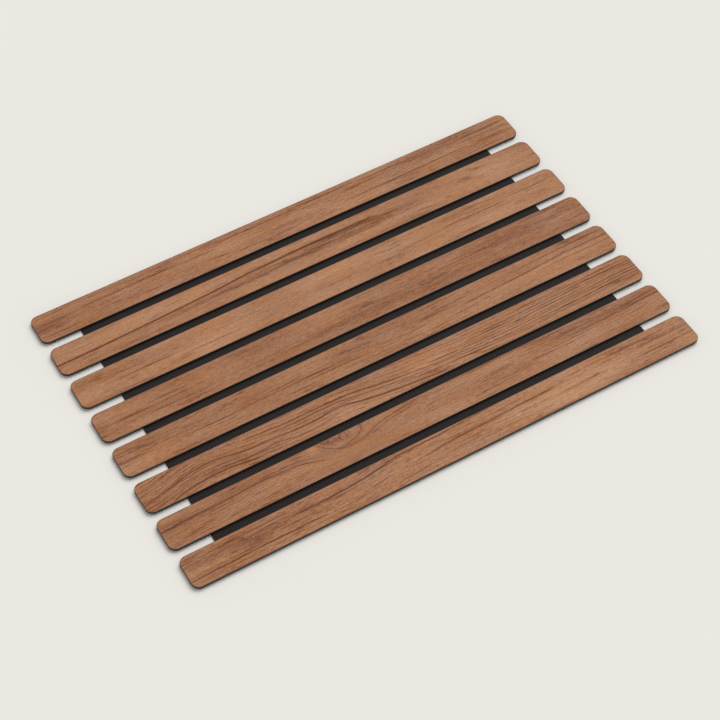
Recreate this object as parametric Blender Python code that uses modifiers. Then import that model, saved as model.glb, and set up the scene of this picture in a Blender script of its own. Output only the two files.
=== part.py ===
"""Slatted bath mat.

Eight wood-faced slats lie side by side on one thin rubber sheet, and the sheet folds along the gap between
each pair of slats. Slat 1 is the far one (+Y) and slat 8 the near one (-Y). All lengths are in metres.
"""

import math

import bmesh
import bpy

COLLECTION = "bath_mat"

SLAT_COUNT = 8
SLAT_LENGTH = 0.600  # along X
SLAT_WIDTH = 0.0400  # along Y
SLAT_PITCH = 0.0502  # from one slat's centre line to the next one's
CORNER_RADIUS = 0.0088  # of a slat's outline, seen from above
CORNER_SEGMENTS = 8

FACE_THICKNESS = 0.0008  # the wood face on top of each slat
CORE_THICKNESS = 0.0016  # the black board under each wood face
BASE_THICKNESS = 0.0014  # the sheet that carries all the slats
GLUE_GAP = 0.0003  # stands for the glue between two layers

FACE_EDGE = 0.0002  # softening of the wood face's edges
CORE_EDGE = 0.00015
EDGE_SEGMENTS = 1

BASE_LENGTH = 0.514  # the sheet stops short of the slats' ends
BASE_INSET = 0.004  # from the long outer edge of slats 1 and 8 in to the sheet's edge
FOLD_SLOT = 0.0020  # between two panels of the sheet, at a fold line
WEB_RADIUS = 0.0006  # of the bead of sheet that stays at a fold line
WEB_SIDES = 12

# Base colours of the eight wood faces, from slat 1 to slat 8: each slat has its own shade of walnut.
FACE_COLOURS = (
    (0.342, 0.168, 0.093),
    (0.366, 0.181, 0.100),
    (0.392, 0.194, 0.107),
    (0.332, 0.156, 0.084),
    (0.352, 0.168, 0.084),
    (0.342, 0.159, 0.084),
    (0.352, 0.165, 0.091),
    (0.356, 0.178, 0.102),
)
CORE_COLOUR = (0.022, 0.018, 0.017)
BASE_COLOUR = (0.030, 0.023, 0.021)
FACE_ROUGHNESS = 0.42
CORE_ROUGHNESS = 0.75
BASE_ROUGHNESS = 0.85


def clear_scene():
    for obj in list(bpy.data.objects):
        bpy.data.objects.remove(obj, do_unlink=True)


def make_collection(name):
    collection = bpy.data.collections.new(name)
    bpy.context.scene.collection.children.link(collection)
    return collection


def make_material(name, colour, roughness):
    material = bpy.data.materials.new(name)
    material.use_nodes = True
    shader = material.node_tree.nodes["Principled BSDF"]
    shader.inputs["Base Color"].default_value = (*colour, 1.0)
    shader.inputs["Roughness"].default_value = roughness
    shader.inputs["Metallic"].default_value = 0.0
    return material


def slat_centre(number):
    """The Y of a slat's centre line."""
    return ((SLAT_COUNT + 1) / 2 - number) * SLAT_PITCH


def fold_line(number):
    """The Y of the fold line between a slat and the next one."""
    return slat_centre(number) - SLAT_PITCH / 2


def box_mesh(name, size):
    """A box about its own centre, whose upright edges carry a bevel weight."""
    mesh = bpy.data.meshes.new(name)
    bm = bmesh.new()
    bmesh.ops.create_cube(bm, size=1.0)
    bmesh.ops.scale(bm, vec=size, verts=bm.verts)
    weight = bm.edges.layers.float.new("bevel_weight_edge")
    for edge in bm.edges:
        run = edge.verts[0].co - edge.verts[1].co
        edge[weight] = 1.0 if abs(run.z) > abs(run.x) + abs(run.y) else 0.0
    bm.to_mesh(mesh)
    bm.free()
    return mesh


def add_piece(collection, name, mesh, location, parent, material):
    """Adds one object at a place in the mat's frame, under the empty that carries its slat."""
    obj = bpy.data.objects.new(name, mesh)
    collection.objects.link(obj)
    obj.parent = parent
    origin = parent.matrix_world.translation if parent else (0.0, 0.0, 0.0)
    obj.location = [place - start for place, start in zip(location, origin)]
    obj.material_slots[0].link = "OBJECT"
    obj.material_slots[0].material = material
    return obj


def round_corners(obj):
    bevel = obj.modifiers.new("round_corners", "BEVEL")
    bevel.limit_method = "WEIGHT"
    bevel.width = CORNER_RADIUS
    bevel.segments = CORNER_SEGMENTS
    bevel.use_clamp_overlap = False


def soften_edges(obj, width):
    bevel = obj.modifiers.new("soften_edges", "BEVEL")
    bevel.limit_method = "ANGLE"
    bevel.angle_limit = math.radians(60)
    bevel.width = width
    bevel.segments = EDGE_SEGMENTS


def add_fold_axes(collection):
    """Adds one empty on each fold line, each under the next one, so that slat 1 hangs from slat 8 down the chain."""
    axes = {SLAT_COUNT: None}
    for number in range(SLAT_COUNT - 1, 0, -1):
        axis = bpy.data.objects.new(f"fold_axis_{number}", None)
        axis.empty_display_size = SLAT_PITCH / 2
        collection.objects.link(axis)
        axis.parent = axes[number + 1]
        if axis.parent:
            axis.location = (0.0, SLAT_PITCH, 0.0)
        else:
            axis.location = (0.0, fold_line(number), BASE_THICKNESS / 2)
        bpy.context.view_layer.update()
        axes[number] = axis
    return axes


def add_base_panels(collection, axes, material):
    """The part of the sheet under each slat, which ends beside the fold lines or inside the outer slats' edges."""
    to_fold = SLAT_PITCH / 2 - FOLD_SLOT / 2
    to_outside = SLAT_WIDTH / 2 - BASE_INSET
    for number in range(1, SLAT_COUNT + 1):
        far = slat_centre(number) + (to_outside if number == 1 else to_fold)
        near = slat_centre(number) - (to_outside if number == SLAT_COUNT else to_fold)
        mesh = box_mesh(f"base_panel_{number}", (BASE_LENGTH, far - near, BASE_THICKNESS))
        mesh.materials.append(None)
        place = (0.0, (far + near) / 2, BASE_THICKNESS / 2)
        add_piece(collection, f"base_panel_{number}", mesh, place, axes[number], material)


def add_fold_webs(collection, axes, material):
    """A round bead of the sheet on each fold line, which stays clear of both panels at any angle."""
    mesh = bpy.data.meshes.new("fold_web")
    bm = bmesh.new()
    bmesh.ops.create_cone(
        bm, cap_ends=True, segments=WEB_SIDES, radius1=WEB_RADIUS, radius2=WEB_RADIUS, depth=BASE_LENGTH
    )
    bm.to_mesh(mesh)
    bm.free()
    mesh.materials.append(None)
    for number in range(1, SLAT_COUNT):
        place = (0.0, fold_line(number), BASE_THICKNESS / 2)
        web = add_piece(collection, f"fold_web_{number}", mesh, place, axes[number + 1], material)
        web.rotation_euler = (0.0, math.pi / 2, 0.0)


def add_slats(collection, axes, core_material, face_materials):
    """The core and the wood face of each slat, both with the same round-cornered outline."""
    core_mesh = box_mesh("slat_core", (SLAT_LENGTH, SLAT_WIDTH, CORE_THICKNESS))
    face_mesh = box_mesh("wood_face", (SLAT_LENGTH, SLAT_WIDTH, FACE_THICKNESS))
    core_mesh.materials.append(None)
    face_mesh.materials.append(None)
    core_height = BASE_THICKNESS + GLUE_GAP + CORE_THICKNESS / 2
    face_height = core_height + CORE_THICKNESS / 2 + GLUE_GAP + FACE_THICKNESS / 2
    for number in range(1, SLAT_COUNT + 1):
        across = slat_centre(number)
        core_place = (0.0, across, core_height)
        face_place = (0.0, across, face_height)
        core = add_piece(collection, f"slat_core_{number}", core_mesh, core_place, axes[number], core_material)
        face = add_piece(
            collection, f"wood_face_{number}", face_mesh, face_place, axes[number], face_materials[number - 1]
        )
        round_corners(core)
        soften_edges(core, CORE_EDGE)
        round_corners(face)
        soften_edges(face, FACE_EDGE)


def main():
    clear_scene()
    collection = make_collection(COLLECTION)
    base_material = make_material("base_rubber", BASE_COLOUR, BASE_ROUGHNESS)
    core_material = make_material("core_black", CORE_COLOUR, CORE_ROUGHNESS)
    face_materials = [
        make_material(f"wood_{number}", colour, FACE_ROUGHNESS)
        for number, colour in enumerate(FACE_COLOURS, start=1)
    ]
    axes = add_fold_axes(collection)
    add_base_panels(collection, axes, base_material)
    add_fold_webs(collection, axes, base_material)
    add_slats(collection, axes, core_material, face_materials)


main()
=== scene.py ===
"""Looks of the slatted bath mat: wood-faced slats with black cores on a folding black rubber sheet."""

import math
from collections import namedtuple

import bmesh
import bpy
from mathutils import Matrix, Vector


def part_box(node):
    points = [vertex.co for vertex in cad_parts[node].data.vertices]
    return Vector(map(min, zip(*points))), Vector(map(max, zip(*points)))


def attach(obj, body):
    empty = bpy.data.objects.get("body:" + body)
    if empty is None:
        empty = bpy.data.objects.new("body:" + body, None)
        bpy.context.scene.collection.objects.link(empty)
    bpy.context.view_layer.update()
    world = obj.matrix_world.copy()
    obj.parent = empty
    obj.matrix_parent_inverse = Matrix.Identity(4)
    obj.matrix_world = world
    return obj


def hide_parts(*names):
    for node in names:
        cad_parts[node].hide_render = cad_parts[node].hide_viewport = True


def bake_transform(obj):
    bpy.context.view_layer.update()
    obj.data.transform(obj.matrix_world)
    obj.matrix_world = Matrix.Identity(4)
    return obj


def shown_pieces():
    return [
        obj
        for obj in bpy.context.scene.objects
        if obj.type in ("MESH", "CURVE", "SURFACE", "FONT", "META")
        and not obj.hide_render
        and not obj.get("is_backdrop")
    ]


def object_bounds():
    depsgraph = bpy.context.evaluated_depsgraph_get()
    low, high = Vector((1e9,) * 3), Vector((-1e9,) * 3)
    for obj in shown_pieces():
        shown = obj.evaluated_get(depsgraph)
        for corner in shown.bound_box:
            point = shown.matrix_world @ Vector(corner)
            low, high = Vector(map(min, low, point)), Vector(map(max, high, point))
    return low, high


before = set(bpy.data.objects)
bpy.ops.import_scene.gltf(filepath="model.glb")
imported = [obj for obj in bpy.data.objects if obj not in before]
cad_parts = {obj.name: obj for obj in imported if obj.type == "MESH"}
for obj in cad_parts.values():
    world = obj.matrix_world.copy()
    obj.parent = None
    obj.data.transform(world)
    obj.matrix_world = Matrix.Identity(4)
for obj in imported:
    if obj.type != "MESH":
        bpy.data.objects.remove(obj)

MM = 0.001
CAD_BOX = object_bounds()
SLAT_COUNT = 8
SLATS = range(1, SLAT_COUNT + 1)
FOLDS = range(1, SLAT_COUNT)

CORNER_RADIUS = 8.8 * MM
CORNER_STEPS = 14
RIM_RADIUS = 0.4 * MM  # the wood face rolls over its edge by this much
RIM_STEPS = 4
FLAT_RING = 0.35 * MM  # the dark rim goes on this far over the flat top
CORE_EDGE = 0.2 * MM  # softens the lower edge of a slat
SHEET_EDGE = 0.2 * MM  # softens the sheet's two ends
GLUE_HALF = 0.15 * MM  # half of the gap that stands for the glue in the CAD
STRIP_HALF = 5.6 * MM  # half the width of the strip of sheet across a fold line
STRIP_STEPS = 16
SHARP_ANGLE = math.radians(40)  # edges that turn more than this stay sharp

# ---------------------------------------------------------------------------------------------------------
# Shader nodes
# ---------------------------------------------------------------------------------------------------------


class Nodes:
    """Adds nodes to one material. Values go in as sockets or plain numbers, and come out as sockets."""

    def __init__(self, name):
        self.material = bpy.data.materials.new(name)
        self.material.use_nodes = True
        self.tree = self.material.node_tree
        self.shader = self.tree.nodes["Principled BSDF"]

    def node(self, kind, **settings):
        made = self.tree.nodes.new(kind)
        for key, value in settings.items():
            setattr(made, key, value)
        return made

    def feed(self, socket, value):
        if isinstance(value, bpy.types.NodeSocket):
            self.tree.links.new(value, socket)
        else:
            socket.default_value = value

    def math(self, operation, *values):
        made = self.node("ShaderNodeMath", operation=operation)
        for socket, value in zip(made.inputs, values):
            self.feed(socket, value)
        return made.outputs[0]

    def add(self, *values):
        total = values[0]
        for value in values[1:]:
            total = self.math("ADD", total, value)
        return total

    def sub(self, a, b):
        return self.math("SUBTRACT", a, b)

    def mul(self, *values):
        total = values[0]
        for value in values[1:]:
            total = self.math("MULTIPLY", total, value)
        return total

    def step(self, value, low, high, start=0.0, end=1.0):
        """Goes smoothly from start, where value is low, to end, where it is high."""
        made = self.node("ShaderNodeMapRange", interpolation_type="SMOOTHSTEP")
        keys = ("Value", "From Min", "From Max", "To Min", "To Max")
        for key, number in zip(keys, (value, low, high, start, end)):
            self.feed(made.inputs[key], number)
        return made.outputs[0]

    def bell(self, value, width):
        """1 where value is 0, falling to about a third at width."""
        share = self.math("DIVIDE", value, width)
        return self.math("EXPONENT", self.mul(share, share, -1.0))

    def noise(self, x, y, z, long, wide, detail=2.0, roughness=0.5):
        """Noise from about -0.5 to 0.5. Its features are about long in x and wide in y. z keeps one noise
        from looking like another, or is a third axis."""
        place = self.node("ShaderNodeCombineXYZ")
        for socket, value in zip(place.inputs, (self.mul(x, 1 / long), self.mul(y, 1 / wide), z)):
            self.feed(socket, value)
        made = self.node("ShaderNodeTexNoise", noise_dimensions="3D")
        self.feed(made.inputs["Vector"], place.outputs[0])
        self.feed(made.inputs["Scale"], 1.0)
        self.feed(made.inputs["Detail"], detail)
        self.feed(made.inputs["Roughness"], roughness)
        return self.sub(made.outputs["Fac"], 0.5)

    def curve(self, value, points):
        """A smooth curve through (input, output) points, both from 0 to 1."""
        made = self.node("ShaderNodeFloatCurve")
        line = made.mapping.curves[0]
        for spot, (x, y) in zip(line.points, (points[0], points[-1])):
            spot.location = (x, y)
        for x, y in points[1:-1]:
            line.points.new(x, y)
        made.mapping.update()
        self.feed(made.inputs["Value"], value)
        return made.outputs[0]

    def ramp(self, value, stops):
        """A colour from stops, which are (place, colour) with places from 0 to 1."""
        made = self.node("ShaderNodeValToRGB")
        made.color_ramp.interpolation = "B_SPLINE"
        elements = made.color_ramp.elements
        while len(elements) < len(stops):
            elements.new(0.5)
        for element, (place, colour) in zip(elements, stops):
            element.position = place
            element.color = (*colour, 1.0)
        self.feed(made.inputs["Fac"], value)
        return made.outputs["Color"]

    def saturate(self, colour, amount):
        made = self.node("ShaderNodeHueSaturation")
        self.feed(made.inputs["Color"], colour)
        self.feed(made.inputs["Saturation"], amount)
        return made.outputs[0]

    def coordinates(self, kind="Object"):
        """The point's X, Y and Z in millimetres, in the object's own frame or from its UV map."""
        place = self.node("ShaderNodeTexCoord").outputs[kind]
        split = self.node("ShaderNodeSeparateXYZ")
        self.feed(split.inputs[0], place)
        return [self.mul(axis, 1000.0) for axis in split.outputs]

    def bump(self, height, depth):
        """Uses height, from 0 to 1, as relief that is depth metres high."""
        made = self.node("ShaderNodeBump")
        self.feed(made.inputs["Height"], height)
        self.feed(made.inputs["Distance"], depth)
        self.feed(made.inputs["Strength"], 1.0)
        self.feed(self.shader.inputs["Normal"], made.outputs[0])

    def surface(self, **values):
        """Sets or links the Principled shader's own sockets."""
        for key, value in values.items():
            self.feed(self.shader.inputs[key.replace("_", " ")], value)
        return self.material


# ---------------------------------------------------------------------------------------------------------
# Wood
# ---------------------------------------------------------------------------------------------------------

# Lengths are in millimetres from the slat's centre: x along it, to the right, and y across it, away.
# A line follows the grain from start to end at y = across (where the grain's own course is flat).
Line = namedtuple("Line", "across start end width dark")
# A mark is a soft streaky patch. Negative dark makes it lighter than the wood round it.
Mark = namedtuple("Mark", "x y length height dark")
# A knot pushes the grain aside, further along the slat on its right than on its left.
Knot = namedtuple("Knot", "x y left right height push")
# A path is a dark line through free points, and an oval is one round a knot.
Path = namedtuple("Path", "points width dark")
Oval = namedtuple("Oval", "x y wide tall width dark")
# Of a slat, tone is how light it is, flow the points that its grain runs through, and sway how much the grain
# wanders off them. Growth lines are spacing apart, rings is how strong they are, and fibre is how strong the
# fine grain is. The marks in calm take away a share of both.
Wood = namedtuple(
    "Wood",
    "tone flow sway spacing rings fibre lines marks knots paths ovals calm",
    defaults=((), (), (), ()),
)

WOODS = {
    1: Wood(
        tone=0.02,
        flow=((-300, -1), (-200, 0.5), (-60, -0.5), (100, -1.5), (220, 0), (300, 1)),
        sway=0.8,
        spacing=5.0,
        rings=0.3,
        fibre=1.0,
        lines=(
            Line(6.5, -240, -85, 0.45, 0.75),
            Line(16.0, -150, -76, 0.5, 0.5),
            Line(13.0, -95, 20, 0.45, 0.55),
            Line(15.5, 30, 95, 0.45, 0.5),
            Line(-12.0, -299, -250, 0.5, 0.6),
            Line(-4.5, 78, 232, 0.45, 0.8),
            Line(13.5, 105, 160, 0.4, 0.5),
            Line(9.0, 232, 292, 0.45, 0.6),
            Line(2.5, 245, 299, 0.4, 0.5),
            Line(-8.0, 215, 296, 0.5, 0.4),
        ),
        marks=(
            Mark(-278, 4, 30, 4, 0.5),
            Mark(-285, -4, 34, 7, 0.45),
            Mark(178, 11, 60, 6, 0.55),
            Mark(25, -5, 26, 4, 0.35),
            Mark(-90, 0, 70, 8, -0.3),
            Mark(170, -2, 130, 20, -0.16),
            Mark(-230, 0, 80, 20, 0.1),
        ),
    ),
    2: Wood(
        tone=0.12,
        flow=((-300, -4), (-215, -2), (-125, 2), (-60, 6), (5, 7.5), (90, 8), (300, 7)),
        sway=0.5,
        spacing=6.0,
        rings=0.15,
        fibre=0.8,
        lines=(
            Line(0.0, -310, 45, 0.62, 1.5),
            Line(0.6, 0, 92, 1.0, 0.6),
        ),
        marks=(
            Mark(-215, -15, 42, 2.6, 0.5),
            Mark(-120, -4.2, 60, 2.4, 0.75),
            Mark(-20, -1, 75, 4.0, 0.6),
            Mark(62, 5.5, 34, 3.0, 1.4),
            Mark(72, -2, 50, 4.5, 0.9),
            Mark(108, 3, 26, 2.0, 1.0),
            Mark(210, 3, 9, 2.0, 1.0),
            Mark(233, 10, 10, 1.4, 1.0),
            Mark(150, -10, 130, 6, -0.2),
            Mark(-250, 10, 70, 6, -0.25),
        ),
    ),
    3: Wood(
        tone=0.2,
        flow=((-300, 0), (-150, -0.6), (0, 0.8), (150, 1.6), (300, 0.5)),
        sway=0.7,
        spacing=7.0,
        rings=0.12,
        fibre=0.8,
        lines=(
            Line(-1.0, -255, -185, 0.45, 0.55),
            Line(-7.0, -175, -122, 0.5, 0.6),
            Line(4.0, -140, -80, 0.5, 0.3),
            Line(0.8, 148, 226, 0.45, 0.7),
            Line(4.5, 245, 282, 0.45, 0.4),
            Line(-16.0, 150, 200, 0.45, 0.4),
        ),
        marks=(
            Mark(175, 13, 38, 3, 0.4),
            Mark(-285, 12, 30, 6, 0.3),
            Mark(200, -3, 60, 4, 0.25),
        ),
    ),
    4: Wood(
        tone=-0.04,
        flow=((-300, 1), (-180, 0), (-40, 1.5), (80, -0.5), (200, 0.5), (300, -0.5)),
        sway=1.4,
        spacing=6.5,
        rings=0.22,
        fibre=0.9,
        lines=(
            Line(-1.5, -275, -243, 0.8, 0.55),
            Line(-1.0, -240, -190, 0.5, 0.35),
            Line(-8.5, -238, -188, 0.5, 0.4),
            Line(9.0, 88, 115, 0.5, 0.35),
        ),
        marks=(
            Mark(165, 2, 110, 8, 0.4),
            Mark(95, -12, 70, 4, 0.3),
            Mark(275, 8, 40, 6, 0.3),
            Mark(278, 0, 34, 1.2, -0.7),
            Mark(-60, -6, 60, 4, 0.25),
        ),
    ),
    5: Wood(
        tone=0.01,
        flow=((-300, 0), (-180, -1.5), (-60, -1.2), (60, -3), (170, 0.5), (240, 3), (300, 3)),
        sway=0.8,
        spacing=4.6,
        rings=0.3,
        fibre=0.9,
        lines=(
            Line(0.5, -310, -268, 0.5, 0.75),
            Line(-1.2, -205, -165, 0.5, 0.6),
            Line(0.2, -165, -60, 0.45, 0.4),
            Line(-4.0, -80, -15, 0.45, 0.6),
            Line(-1.8, 22, 62, 0.45, 0.6),
            Line(6.0, 58, 90, 0.8, 0.45),
            Line(0.4, 112, 236, 0.45, 0.8),
            Line(1.0, 240, 310, 0.45, 0.75),
            Line(-7.0, 88, 125, 0.45, 0.5),
            Line(18.0, 62, 112, 0.5, 0.4),
            Line(-6.0, 200, 300, 0.5, 0.35),
            Line(9.0, 190, 296, 0.5, 0.35),
        ),
        marks=(
            Mark(-8, 16, 5, 2.0, 0.7),
            Mark(-50, 0, 60, 5, 0.3),
            Mark(-255, -8, 60, 6, -0.15),
            Mark(215, -2, 110, 16, -0.32),
            Mark(-230, 10, 80, 9, 0.15),
        ),
    ),
    6: Wood(
        tone=0.01,
        flow=(
            (-300, -9), (-270, -4), (-245, 1.5), (-222, 3.8), (-200, 3), (-175, 0), (-145, -1.8),
            (-115, -3.5), (-88, -2.6), (-66, -2.8), (-45, -6), (-20, -9.6), (10, -13), (60, -16), (130, -18),
            (200, -16.8), (300, -15),
        ),
        sway=0.5,
        spacing=4.4,
        rings=0.8,
        fibre=0.9,
        lines=(
            Line(28.6, 160, 310, 0.5, 0.35),
            Line(25.4, 120, 310, 0.5, 0.5),
            Line(22.2, 90, 310, 0.5, 0.5),
            Line(18.8, 60, 310, 0.5, 0.5),
            Line(15.2, 40, 310, 0.5, 0.55),
            Line(11.8, 60, 310, 0.5, 0.55),
            Line(8.4, 70, 310, 0.5, 0.5),
            Line(5.0, 60, 310, 0.5, 0.5),
        ),
        marks=(
            Mark(-250, 0, 90, 20, 0.25),
            Mark(180, 2, 140, 22, -0.3),
            Mark(20, 0, 26, 4, -0.4),
        ),
        paths=(
            Path(
                (
                    (-304, -9.8), (-284, -5.2), (-267, -1.6), (-251, 2.5), (-234, 5), (-218, 5.7),
                    (-206, 4.6), (-193, 2), (-177, 0), (-144, -1.2), (-128, -3), (-100, -3.6), (-80, -1),
                    (-65, -2), (-55, -4.5), (-30, -9), (0, -12.7), (20, -14.4), (52, -18),
                ),
                0.6,
                0.82,
            ),
            Path(
                (
                    (-272, -20), (-251, -12.8), (-234, -11), (-218, -10.6), (-202, -11), (-188, -13.4),
                    (-170, -15.5),
                ),
                0.6,
                0.72,
            ),
            Path(
                (
                    (-175, 11.8), (-152, 11), (-136, 9.5), (-100, 9.3), (-55, 8), (-30, 4.2), (0, 0.5),
                    (70, -7),
                ),
                0.6,
                0.65,
            ),
            Path(
                ((-160, 6.6), (-128, 4.6), (-100, 5.2), (-80, 5.6), (-60, 3), (-30, -1), (0, -4.5)),
                0.6,
                0.5,
            ),
            Path(
                ((-186, -8), (-169, -9), (-152, -7.9), (-136, -9.8), (-120, -12.3), (-98, -11.5), (-80, -9)),
                0.6,
                0.58,
            ),
        ),
    ),
    7: Wood(
        tone=0.01,
        flow=((-300, -3), (-230, -0.5), (-160, 2), (-90, 2), (0, 2.5), (100, 3), (200, 1), (300, 4)),
        sway=0.7,
        spacing=3.2,
        rings=0.55,
        fibre=0.9,
        lines=(
            Line(7.4, -310, -175, 0.5, 0.7),
            Line(4.0, 180, 310, 0.6, 0.45),
            Line(8.0, 225, 310, 0.5, 0.4),
            Line(15.5, 60, 180, 0.5, 0.35),
        ),
        marks=(
            Mark(-278, 6, 26, 2.2, 0.35),
            Mark(-122, 14.5, 9, 5, -0.7),
            Mark(-109, 16.5, 5, 4, 0.8),
            Mark(-97, 14, 6, 2.2, 0.6),
            Mark(-73, 16, 6, 2.5, -0.5),
            Mark(-93, 7, 9, 2, -0.4),
            Mark(-54, 3.8, 4, 1.0, 0.9),
            Mark(-60, -9, 90, 9, -0.3),
            Mark(240, 11, 70, 7, 0.3),
            Mark(-285, -4, 26, 12, 0.25),
            Mark(-142, 15, 8, 3, 0.5),
            Mark(180, -8, 90, 10, -0.15),
        ),
        knots=(Knot(-87, 15.5, 26, 44, 10.5, 15.5),),
        paths=(
            Path(
                ((-182, 8.2), (-164, 7.7), (-151, 7.5), (-142, 6), (-133, 3.4), (-124, 1), (-112, -3.6)),
                0.6,
                0.55,
            ),
            Path(
                ((-185, 10.6), (-170, 11.2), (-158, 11.2), (-146, 10.4), (-134, 8.4), (-124, 5.5)),
                0.6,
                0.45,
            ),
            Path(
                (
                    (-123, 24), (-116, 17), (-110, 11), (-105, 7.6), (-100, 4.8), (-95, 2.4), (-90, 1.2),
                    (-84, 0.8), (-77, 1.2), (-70, 2.3), (-62, 5), (-54, 8.2), (-38, 12), (5, 17.6),
                ),
                0.6,
                0.42,
            ),
            Path(((-92, 3), (-84, 5.4), (-77, 7.2), (-70, 10.8), (-64, 16), (-58, 23)), 0.6, 0.3),
            Path(((-75, 0.5), (-62, 2), (-48, 5.2), (-30, 9.6), (0, 13)), 0.5, 0.25),
        ),
        ovals=(
            Oval(-85, 16, 20, 10.4, 0.6, 0.32),
            Oval(-87, 14.6, 4.7, 4.4, 0.7, 0.46),
            Oval(-87, 15.5, 8.5, 7, 0.5, 0.22),
        ),
        calm=(Mark(-84, 14, 26, 12, 0.75), Mark(-78, -8, 46, 13, 0.75), Mark(-121, 13, 12, 8, 0.8)),
    ),
    8: Wood(
        tone=0.04,
        flow=(
            (-300, -2), (-220, -0.4), (-110, 0), (-70, 4), (-30, 6.5), (20, 7), (110, 7.6), (220, 8),
            (300, 8.5),
        ),
        sway=0.7,
        spacing=4.4,
        rings=0.45,
        fibre=1.1,
        lines=(
            Line(-8.6, -305, -150, 0.5, 0.9),
            Line(-6.0, -95, -72, 0.6, 0.5),
            Line(-11.0, 140, 192, 0.6, 0.6),
            Line(3.0, 205, 262, 0.5, 0.5),
            Line(-3.0, 235, 300, 0.5, 0.6),
            Line(13.0, -260, -180, 0.5, 0.45),
            Line(-13.5, 230, 300, 0.5, 0.5),
        ),
        marks=(
            Mark(-280, -2, 30, 2.2, -0.7),
            Mark(-205, 11.5, 34, 1.8, -0.6),
            Mark(-225, 1, 60, 12, 0.5),
            Mark(170, -2, 150, 20, -0.4),
            Mark(-190, -4, 110, 18, 0.14),
            Mark(255, 10, 50, 5, 0.4),
            Mark(100, -14, 90, 4, -0.25),
        ),
        paths=(
            Path(
                (
                    (-175, 6.2), (-130, 6.7), (-100, 8.7), (-85, 10.5), (-60, 14.2), (-50, 15.5), (0, 16.7),
                    (85, 21),
                ),
                0.6,
                0.9,
            ),
            Path(((-20, 1.5), (0, 3.4), (50, 4.8), (100, 6.2), (130, 6.6)), 0.6, 0.9),
        ),
    ),
}

# The layers of the wood's fine structure: how long and how wide their features are in millimetres, and how
# much darkness they add. A noise goes both ways, so the sign only swaps what is light and what is dark.
Layer = namedtuple("Layer", "long wide strength")
BANDS = Layer(95.0, 20.0, -0.36)
STREAKS = Layer(30.0, 2.4, -0.27)
FIBRES = Layer(7.0, 0.92, -0.8)
MOTTLE = Layer(12.0, 5.0, -0.2)
FELT = Layer(2.0, 1.1, -0.5)
PORES = Layer(9.0, 0.9, 0.16)
DASHES = Layer(26.0, 1.0, 0.26)
VEINS = Layer(90.0, 5.0, 0.26)
GROWTH = 0.5  # the strength of all growth lines
MARKS = 0.42  # of all marks
DRAWN = 0.66  # of all lines that stand out
BALANCE = 0.07  # lightens the wood by about what the grain and the growth lines darken it on the whole

CURVE_X = 320.0  # how far from the slat's centre a curve's points may lie
CURVE_Y = 25.0
SWAY = 2.6  # how far the grain wanders where sway is 1
KNOT_MIDDLE = 6.0  # a knot's reach changes from left to right over this far on both sides of it

WOOD_CONTRAST = 0.9
WOOD_RELIEF = 0.07 * MM
WOOD_ROUGHNESS = 0.58
WOOD_SATURATION = 1.01
WOOD_WARMTH = 0.36  # how much the saturation varies

WOOD_STOPS = (
    (0.0, (0.085, 0.026, 0.010)),
    (0.3, (0.192, 0.071, 0.031)),
    (0.5, (0.318, 0.140, 0.067)),
    (0.7, (0.412, 0.202, 0.104)),
    (1.0, (0.580, 0.330, 0.190)),
)
RIM_STOPS = ((0.2, (0.070, 0.024, 0.012)), (0.8, (0.200, 0.078, 0.038)))

# In the functions below, jitter is the noise of the fine fibres, and the numbers added to a seed only keep
# one noise from looking like another.


def slat_curve(n, x, points):
    """The height of a smooth curve through points of the slat, at x."""
    spots = [((px + CURVE_X) / (2 * CURVE_X), (py + CURVE_Y) / (2 * CURVE_Y)) for px, py in points]
    share = n.curve(n.math("DIVIDE", n.add(x, CURVE_X), 2 * CURVE_X), spots)
    return n.sub(n.mul(share, 2 * CURVE_Y), CURVE_Y)


def grain_course(n, wood, x, y, seed):
    """How far each point lies across the grain: y, less the course that the grain takes along the slat."""
    sway = n.noise(x, y, seed, 70, 25)
    across = n.sub(n.sub(y, slat_curve(n, x, wood.flow)), n.mul(sway, SWAY * wood.sway))
    for knot in wood.knots:
        offset = n.sub(x, knot.x)
        reach = n.step(offset, -KNOT_MIDDLE, KNOT_MIDDLE, knot.left, knot.right)
        near = n.mul(n.bell(offset, reach), n.bell(n.sub(y, knot.y), knot.height))
        across = n.add(across, n.mul(near, knot.push))
    return across


def growth_lines(n, wood, x, across, jitter, seed):
    """Dark late-wood lines at an uneven spacing, which come and go along the slat."""
    drift = n.noise(x, across, seed + 3, 120, 8, detail=2.5, roughness=0.55)
    place = n.add(n.mul(across, 1 / wood.spacing), n.mul(drift, 1.8), n.mul(jitter, 0.45))
    wave = n.math("FRACT", place)
    line = n.mul(n.step(wave, 0.58, 0.86), n.step(wave, 0.88, 0.98, 1.0, 0.0))
    fade = n.noise(x, n.math("FLOOR", place), seed + 5, 45, 1)
    return n.mul(line, n.step(fade, -0.16, 0.16, 0.15, 1.0))


def veins(n, x, across, seed):
    """Thin lines along the grain that fork, join and fade."""
    field = n.noise(x, across, seed, VEINS.long, VEINS.wide, detail=1.5)
    fade = n.noise(x, across, seed + 41, VEINS.long / 1.6, VEINS.wide / 0.7, detail=1.0)
    return n.mul(n.bell(field, 0.03), n.step(fade, -0.08, 0.16))


def dashes(n, x, across, layer, start, seed):
    """Short dark strokes along the grain. A lower start makes more of them."""
    field = n.noise(x, across, seed, layer.long, layer.wide, detail=2.0, roughness=0.6)
    return n.step(field, start, start + 0.14)


def stroke(n, offset, width, x, start, end, jitter, dark):
    """A dark line where offset is 0, which fades out at start and end and is uneven between them."""
    ends = n.mul(n.step(x, start - 10.0, start + 12.0), n.step(x, end - 12.0, end + 10.0, 1.0, 0.0))
    offset = n.add(offset, n.mul(jitter, 1.3))
    shape = n.add(n.bell(offset, width), n.mul(n.bell(offset, 3.0 * width), 0.22))
    return n.mul(shape, ends, n.step(jitter, -0.25, 0.12, 0.5, 1.0), dark)


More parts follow.
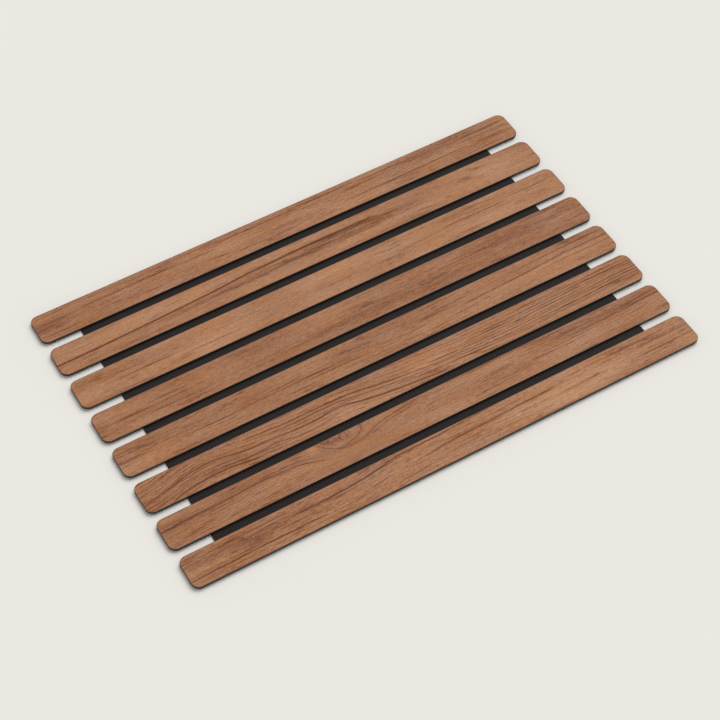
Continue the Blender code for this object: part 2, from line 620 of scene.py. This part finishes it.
def oval_stroke(n, ring, x, y, jitter):
    """A dark, bent oval, which fades in places."""
    bent = n.noise(x, y, ring.wide, 9, 6, detail=1.0)
    along = n.sub(x, ring.x)
    aside = n.mul(n.sub(y, ring.y), ring.wide / ring.tall)
    reach = n.math("SQRT", n.add(n.mul(along, along), n.mul(aside, aside)))
    offset = n.mul(n.sub(reach, ring.wide), ring.tall / ring.wide)
    offset = n.add(offset, n.mul(bent, 0.5 * ring.tall), n.mul(jitter, 1.6))
    return n.mul(n.bell(offset, ring.width), n.step(bent, -0.14, 0.08, 0.3, 1.0), ring.dark)


def drawn_lines(n, wood, x, y, across, jitter):
    """The lines that stand out on one slat: along the grain, free, and round a knot."""
    dark = 0.0
    for line in wood.lines:
        offset = n.sub(across, line.across)
        dark = n.add(dark, stroke(n, offset, line.width, x, line.start, line.end, jitter, line.dark))
    for path in wood.paths:
        offset = n.sub(y, slat_curve(n, x, path.points))
        start, end = path.points[0][0], path.points[-1][0]
        dark = n.add(dark, stroke(n, offset, path.width, x, start, end, jitter, path.dark))
    for ring in wood.ovals:
        dark = n.add(dark, oval_stroke(n, ring, x, y, jitter))
    return dark


def soft_mark(n, mark, x, y):
    """1 at the middle of a mark, falling smoothly round it."""
    return n.mul(n.bell(n.sub(x, mark.x), mark.length), n.bell(n.sub(y, mark.y), mark.height))


def wood_darkness(n, wood, x, y, seed):
    """How dark the wood is at each point, about 0, and the fine fibres for the relief."""
    across = grain_course(n, wood, x, y, seed)
    bands = n.noise(x, across, seed + 11, BANDS.long, BANDS.wide, detail=0.3)
    streaks = n.noise(x, across, seed + 17, STREAKS.long, STREAKS.wide, detail=4.0, roughness=0.65)
    fibres = n.noise(x, across, seed + 23, FIBRES.long, FIBRES.wide, detail=2.0, roughness=0.6)
    mottle = n.noise(x, y, seed + 29, MOTTLE.long, MOTTLE.wide, detail=3.0, roughness=0.65)
    felt = n.noise(x, y, seed + 53, FELT.long, FELT.wide, detail=1.0)
    pores = dashes(n, x, across, PORES, 0.08, seed + 31)
    strokes = dashes(n, x, across, DASHES, 0.13, seed + 37)
    grain = n.add(
        n.mul(streaks, STREAKS.strength * wood.fibre),
        n.mul(fibres, FIBRES.strength * wood.fibre),
        n.mul(pores, PORES.strength * wood.fibre),
        n.mul(strokes, DASHES.strength * wood.fibre),
        n.mul(veins(n, x, across, seed + 43), VEINS.strength * wood.fibre),
        n.mul(growth_lines(n, wood, x, across, fibres, seed), GROWTH * wood.rings),
        -BALANCE * (wood.fibre + wood.rings),
    )
    for mark in wood.calm:
        grain = n.mul(grain, n.sub(1.0, n.mul(soft_mark(n, mark, x, y), mark.dark)))
    dark = n.add(
        grain,
        n.mul(bands, BANDS.strength),
        n.mul(mottle, MOTTLE.strength),
        n.mul(felt, FELT.strength),
    )
    for mark in wood.marks:
        streaky = n.step(streaks, -0.22, 0.18, 1.3, 0.2)
        dark = n.add(dark, n.mul(soft_mark(n, mark, x, y), streaky, MARKS * mark.dark))
    dark = n.add(dark, n.mul(drawn_lines(n, wood, x, y, across, fibres), DRAWN))
    return dark, n.sub(n.mul(fibres, 0.7), n.mul(pores, 0.3))


def wood_material(number):
    """The printed wood of one slat."""
    wood = WOODS[number]
    seed = 37.0 * number
    n = Nodes(f"wood_{number}")
    x, y, _ = n.coordinates()
    dark, fibres = wood_darkness(n, wood, x, y, seed)
    light = n.sub(0.5 + 0.5 * wood.tone, n.mul(dark, WOOD_CONTRAST))
    n.bump(n.sub(n.add(0.5, n.mul(fibres, 0.6)), n.mul(dark, 0.4)), WOOD_RELIEF)
    rough = n.add(WOOD_ROUGHNESS, n.mul(dark, 0.1), n.mul(fibres, 0.1))
    warmth = n.noise(x, y, seed + 61, 55, 14, detail=3.0)
    colour = n.saturate(n.ramp(light, WOOD_STOPS), n.add(WOOD_SATURATION, n.mul(warmth, WOOD_WARMTH)))
    return n.surface(Base_Color=colour, Roughness=rough, Specular_IOR_Level=0.18)


def rim_material():
    """The rolled edge of the wood face, darker and redder than the top."""
    n = Nodes("wood_rim")
    x, y, _ = n.coordinates()
    streaks = n.noise(x, y, 5.0, 20, 1.5, detail=3.0)
    n.bump(n.add(streaks, 0.5), 0.04 * MM)
    colour = n.ramp(n.add(streaks, 0.5), RIM_STOPS)
    return n.surface(Base_Color=colour, Roughness=n.add(0.5, n.mul(streaks, 0.3)))


# ---------------------------------------------------------------------------------------------------------
# Black parts and floor
# ---------------------------------------------------------------------------------------------------------

CORE_STOPS = ((0.1, (0.010, 0.008, 0.008)), (0.9, (0.026, 0.021, 0.020)))
SHEET_STOPS = ((0.15, (0.003, 0.002, 0.002)), (0.85, (0.034, 0.028, 0.025)))
FLOOR_STOPS = ((0.2, (0.800, 0.787, 0.764)), (0.8, (0.815, 0.802, 0.779)))
WARP_PITCH = 2.2  # of the weave's two sets of diagonal ribs, in millimetres across the mat
WEFT_PITCH = 3.8
RIB_SLOPE = 0.8


def core_material():
    """The black cut edge and underside of a slat: a dense board with fine pits."""
    n = Nodes("slat_core")
    x, y, z = n.coordinates()
    grit = n.noise(x, y, n.mul(z, 1 / 0.5), 0.5, 0.5, detail=3.0, roughness=0.7)
    cloud = n.noise(x, y, n.mul(z, 1 / 3), 25, 12)
    shade = n.add(0.5, n.mul(grit, 0.8), n.mul(cloud, 0.5))
    n.bump(n.add(grit, 0.5), 0.06 * MM)
    return n.surface(Base_Color=n.ramp(shade, CORE_STOPS), Roughness=n.add(0.62, n.mul(grit, 0.3)))


def sheet_material():
    """The black rubber sheet, with a fine diagonal weave pressed into it."""
    n = Nodes("base_rubber")
    x, y, _ = n.coordinates("UV")
    slope = n.mul(x, RIB_SLOPE)
    warp = n.math("SINE", n.mul(n.add(slope, y), math.tau / WARP_PITCH))
    weft = n.math("SINE", n.mul(n.sub(slope, y), math.tau / WEFT_PITCH))
    weave = n.add(0.5, n.mul(warp, 0.32), n.mul(weft, 0.16))
    grit = n.noise(x, y, 2.0, 0.6, 0.6, detail=3.0, roughness=0.7)
    dust = n.noise(x, y, 7.0, 35, 18, detail=3.0)
    shade = n.add(n.mul(weave, 0.9), n.mul(grit, 0.4), n.mul(dust, 0.35), -0.08)
    n.bump(n.add(weave, n.mul(grit, 0.3)), 0.16 * MM)
    rough = n.add(0.72, n.mul(grit, 0.25))
    return n.surface(Base_Color=n.ramp(shade, SHEET_STOPS), Roughness=rough, Specular_IOR_Level=0.2)


def floor_material():
    """A pale matt floor, very slightly uneven."""
    n = Nodes("floor")
    x, y, _ = n.coordinates()
    cloud = n.noise(x, y, 1.0, 420, 420)
    colour = n.ramp(n.add(cloud, 0.5), FLOOR_STOPS)
    return n.surface(Base_Color=colour, Roughness=0.85, Specular_IOR_Level=0.1)


# ---------------------------------------------------------------------------------------------------------
# Shapes
# ---------------------------------------------------------------------------------------------------------


def add_object(name, data, location=(0.0, 0.0, 0.0)):
    """Puts a mesh, a light or a camera in the scene."""
    obj = bpy.data.objects.new(name, data)
    bpy.context.scene.collection.objects.link(obj)
    obj.location = location
    return obj


def outline(half_x, half_y, inset):
    """Points round a slat's outline, pulled in by inset."""
    radius = CORNER_RADIUS - inset
    points = []
    for quarter, (side_x, side_y) in enumerate(((1, 1), (-1, 1), (-1, -1), (1, -1))):
        centre_x = side_x * (half_x - CORNER_RADIUS)
        centre_y = side_y * (half_y - CORNER_RADIUS)
        for step in range(CORNER_STEPS + 1):
            turn = math.radians(90) * (quarter + step / CORNER_STEPS)
            points.append((centre_x + radius * math.cos(turn), centre_y + radius * math.sin(turn)))
    return points


def add_skin(bm, rings, materials):
    """Adds the faces from each ring of vertices to the next one, and one over each end. materials has one
    material index for each ring."""
    count = len(rings[0])
    for low, high, material in zip(rings, rings[1:], materials):
        for i in range(count):
            j = (i + 1) % count
            bm.faces.new((low[i], low[j], high[j], high[i])).material_index = material
    bm.faces.new(rings[0][::-1]).material_index = materials[0]
    bm.faces.new(rings[-1]).material_index = materials[-1]


def finished_mesh(bm, name):
    """The mesh of bm, with smooth shading between its sharp edges."""
    mesh = bpy.data.meshes.new(name)
    bm.to_mesh(mesh)
    bm.free()
    mesh.shade_smooth()
    mesh.set_sharp_from_angle(angle=SHARP_ANGLE)
    return mesh


def slab_mesh(name, half_x, half_y, profile):
    """A slab with the slats' round corners. profile lists (inset, height, material) from the lowest ring up.
    The material is that of the faces from the ring to the next one, or of the top face for the last ring."""
    bm = bmesh.new()
    rings = []
    for inset, height, _ in profile:
        rings.append([bm.verts.new((x, y, height)) for x, y in outline(half_x, half_y, inset)])
    add_skin(bm, rings, [material for _, _, material in profile])
    return finished_mesh(bm, name)


def face_profile(bottom, top):
    """The wood face: a black side, a dark rim that rolls over onto the top, and the wood inside it."""
    core, rim, wood = 0, 1, 2
    profile = [(0.0, bottom, core), (0.0, top - RIM_RADIUS, core)]
    for step in range(1, RIM_STEPS + 1):
        turn = math.radians(90) * step / RIM_STEPS
        inset = RIM_RADIUS * (1 - math.cos(turn))
        height = top - RIM_RADIUS * (1 - math.sin(turn))
        profile.append((inset, height, core if step == 1 else rim))
    profile.append((RIM_RADIUS + FLAT_RING, top, wood))
    return profile


def add_slat(number, core, rim):
    """The wood face and the core of one slat, in place of the CAD ones. No gap for the glue is left."""
    low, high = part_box(f"wood_face_{number}")
    core_low, core_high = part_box(f"slat_core_{number}")
    sheet_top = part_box(f"base_panel_{number}")[1].z
    half_x = (high.x - low.x) / 2
    half_y = (high.y - low.y) / 2
    centre_y = (high.y + low.y) / 2
    joint = (core_high.z + low.z) / 2
    bottom = (sheet_top + core_low.z) / 2

    face_mesh = slab_mesh(f"decor_{number}", half_x, half_y, face_profile(joint, high.z))
    face = add_object(f"decor_{number}", face_mesh, (0.0, centre_y, 0.0))
    for material in (core, rim, wood_material(number)):
        face_mesh.materials.append(material)
    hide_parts(f"wood_face_{number}")
    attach(face, f"slat_{number}")

    core_rings = ((CORE_EDGE, bottom, 0), (0.0, bottom + CORE_EDGE, 0), (0.0, joint, 0))
    core_mesh = slab_mesh(f"board_{number}", half_x, half_y, core_rings)
    core_mesh.materials.append(core)
    board = add_object(f"board_{number}", core_mesh, (0.0, centre_y, 0.0))
    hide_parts(f"slat_core_{number}")
    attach(board, f"slat_{number}")


def sheet_mesh(name, half_x, thickness, lines):
    """A run of the rubber sheet: its section, swept across the mat through the Y values in lines."""
    section = [
        (-half_x, SHEET_EDGE),
        (-half_x + SHEET_EDGE, 0.0),
        (half_x - SHEET_EDGE, 0.0),
        (half_x, SHEET_EDGE),
        (half_x, thickness - SHEET_EDGE),
        (half_x - SHEET_EDGE, thickness),
        (-half_x + SHEET_EDGE, thickness),
        (-half_x, thickness - SHEET_EDGE),
    ]
    bm = bmesh.new()
    rows = [[bm.verts.new((x, y, z)) for x, z in section] for y in lines]
    add_skin(bm, rows, [0] * len(rows))
    bmesh.ops.recalc_face_normals(bm, faces=bm.faces)
    flat = bm.loops.layers.uv.new("flat")
    for face in bm.faces:
        for loop in face.loops:
            loop[flat].uv = loop.vert.co.xy
    return finished_mesh(bm, name)


def fold_line(number):
    """The Y of a fold line, between a slat and the next one."""
    low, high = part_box(f"fold_web_{number}")
    return (low.y + high.y) / 2


def add_sheet(material):
    """The rubber sheet: a run that rides under each slat, and a strip across each fold line."""
    low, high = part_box("base_panel_2")
    half_x = (high.x - low.x) / 2
    thickness = high.z + GLUE_HALF
    edge_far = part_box("base_panel_1")[1].y
    edge_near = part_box(f"base_panel_{SLAT_COUNT}")[0].y
    for number in SLATS:
        far = edge_far if number == 1 else fold_line(number - 1) - STRIP_HALF
        near = edge_near if number == SLAT_COUNT else fold_line(number) + STRIP_HALF
        mesh = sheet_mesh(f"sheet_{number}", half_x, thickness, (near, far))
        mesh.materials.append(material)
        panel = add_object(f"sheet_{number}", mesh)
        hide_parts(f"base_panel_{number}")
        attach(panel, f"slat_{number}")
    for number in FOLDS:
        middle = fold_line(number)
        lines = [middle + STRIP_HALF * (2 * i / STRIP_STEPS - 1) for i in range(STRIP_STEPS + 1)]
        mesh = sheet_mesh(f"fold_{number}", half_x, thickness, lines)
        mesh.materials.append(material)
        strip = add_object(f"fold_{number}", mesh)
        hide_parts(f"fold_web_{number}")
        near = (0.0, middle - STRIP_HALF, 0.0)
        far = (0.0, middle + STRIP_HALF, 0.0)
        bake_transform(strip)


# ---------------------------------------------------------------------------------------------------------
# Studio
# ---------------------------------------------------------------------------------------------------------

CAMERA_PLACE = Vector((-0.6245, -1.1289, 1.6053))  # from the centre of the slats' tops
CAMERA_AZIMUTH = -28.81  # degrees, round from straight in front
CAMERA_DOWN = 52.12
CAMERA_ROLL = -1.73
CAMERA_LENS = 96.85
CAMERA_SENSOR = 36.0
KEY_FROM = Vector((1.0, 0.55, 1.35))  # up, to the right of the mat and beyond it
KEY_ENERGY = 2.1
KEY_ANGLE = 50.0  # degrees of the sky that the light fills, which make its shadows soft
KEY_COLOUR = (1.0, 0.990, 0.978)
PALE = (0.832, 0.810, 0.775)
DOME_STRENGTH = 0.56
DOME_FADE = (0.22, 0.5)  # the heights between which the dome dims: 0 is the horizon and 1 is overhead
FLOOR_RADIUS = 12.0


def add_camera():
    """The camera at the photograph's place, fitted to the corners of the slats."""
    data = bpy.data.cameras.new("camera")
    data.lens = CAMERA_LENS
    data.sensor_width = CAMERA_SENSOR
    camera = add_object("camera", data)
    aim = Matrix.Rotation(math.radians(CAMERA_AZIMUTH), 4, "Z")
    tilt = Matrix.Rotation(math.radians(90 - CAMERA_DOWN), 4, "X")
    roll = Matrix.Rotation(math.radians(CAMERA_ROLL), 4, "Z")
    place = Matrix.Translation(CAMERA_PLACE + Vector((0.0, 0.0, CAD_BOX[1].z)))
    camera.matrix_world = place @ aim @ tilt @ roll
    bpy.context.scene.camera = camera


def add_key_light():
    """One large soft source."""
    data = bpy.data.lights.new("key", "SUN")
    data.energy = KEY_ENERGY
    data.angle = math.radians(KEY_ANGLE)
    data.color = KEY_COLOUR
    light = add_object("key", data)
    light.rotation_euler = (-KEY_FROM).to_track_quat("-Z", "Y").to_euler()


def add_world():
    """A soft pale dome. Near the horizon it is as bright as the floor, like a studio's curved backdrop."""
    world = bpy.data.worlds.new("studio")
    bpy.context.scene.world = world
    world.use_nodes = True
    tree = world.node_tree
    direction = tree.nodes.new("ShaderNodeTexCoord")
    split = tree.nodes.new("ShaderNodeSeparateXYZ")
    fade = tree.nodes.new("ShaderNodeMapRange")
    fade.interpolation_type = "SMOOTHSTEP"
    fade.inputs["From Min"].default_value = DOME_FADE[0]
    fade.inputs["From Max"].default_value = DOME_FADE[1]
    fade.inputs["To Min"].default_value = 1.0
    fade.inputs["To Max"].default_value = DOME_STRENGTH
    background = tree.nodes["Background"]
    background.inputs["Color"].default_value = (*PALE, 1.0)
    tree.links.new(direction.outputs["Generated"], split.inputs[0])
    tree.links.new(split.outputs["Z"], fade.inputs["Value"])
    tree.links.new(fade.outputs[0], background.inputs["Strength"])


def lowest_point(tree, collection):
    """The height of the lowest point of what is in a collection, or 0 if that is lower."""
    info = tree.nodes.new("GeometryNodeCollectionInfo")
    info.transform_space = "RELATIVE"
    info.inputs["Collection"].default_value = collection
    real = tree.nodes.new("GeometryNodeRealizeInstances")
    box = tree.nodes.new("GeometryNodeBoundBox")
    split = tree.nodes.new("ShaderNodeSeparateXYZ")
    least = tree.nodes.new("ShaderNodeMath")
    least.operation = "MINIMUM"
    least.inputs[1].default_value = 0.0
    tree.links.new(info.outputs[0], real.inputs[0])
    tree.links.new(real.outputs[0], box.inputs[0])
    tree.links.new(box.outputs["Min"], split.inputs[0])
    tree.links.new(split.outputs["Z"], least.inputs[0])
    return least.outputs[0]


def keep_under(floor, collection):
    """Lays the floor under the lowest point of the mat, since a fold line can also bend down."""
    tree = bpy.data.node_groups.new("keep_under", "GeometryNodeTree")
    tree.interface.new_socket("Geometry", in_out="INPUT", socket_type="NodeSocketGeometry")
    tree.interface.new_socket("Geometry", in_out="OUTPUT", socket_type="NodeSocketGeometry")
    entry = tree.nodes.new("NodeGroupInput")
    leave = tree.nodes.new("NodeGroupOutput")
    move = tree.nodes.new("GeometryNodeSetPosition")
    offset = tree.nodes.new("ShaderNodeCombineXYZ")
    tree.links.new(lowest_point(tree, collection), offset.inputs["Z"])
    tree.links.new(entry.outputs[0], move.inputs["Geometry"])
    tree.links.new(offset.outputs[0], move.inputs["Offset"])
    tree.links.new(move.outputs[0], leave.inputs[0])
    floor.modifiers.new("keep_under", "NODES").node_group = tree


def add_floor():
    """A plain round floor, which a pose that bends the mat down pushes down."""
    bm = bmesh.new()
    bmesh.ops.create_circle(bm, cap_ends=True, segments=64, radius=FLOOR_RADIUS)
    mesh = bpy.data.meshes.new("floor")
    bm.to_mesh(mesh)
    bm.free()
    mesh.materials.append(floor_material())
    floor = add_object("floor", mesh)
    floor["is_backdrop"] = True
    mat = bpy.data.collections.new("bath_mat_pieces")
    bpy.context.scene.collection.children.link(mat)
    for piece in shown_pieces():
        mat.objects.link(piece)
    keep_under(floor, mat)


def main():
    core = core_material()
    rim = rim_material()
    for number in SLATS:
        add_slat(number, core, rim)
    add_sheet(sheet_material())
    add_camera()
    add_world()
    add_key_light()
    add_floor()
    bpy.context.scene.view_settings.view_transform = "Standard"


main()
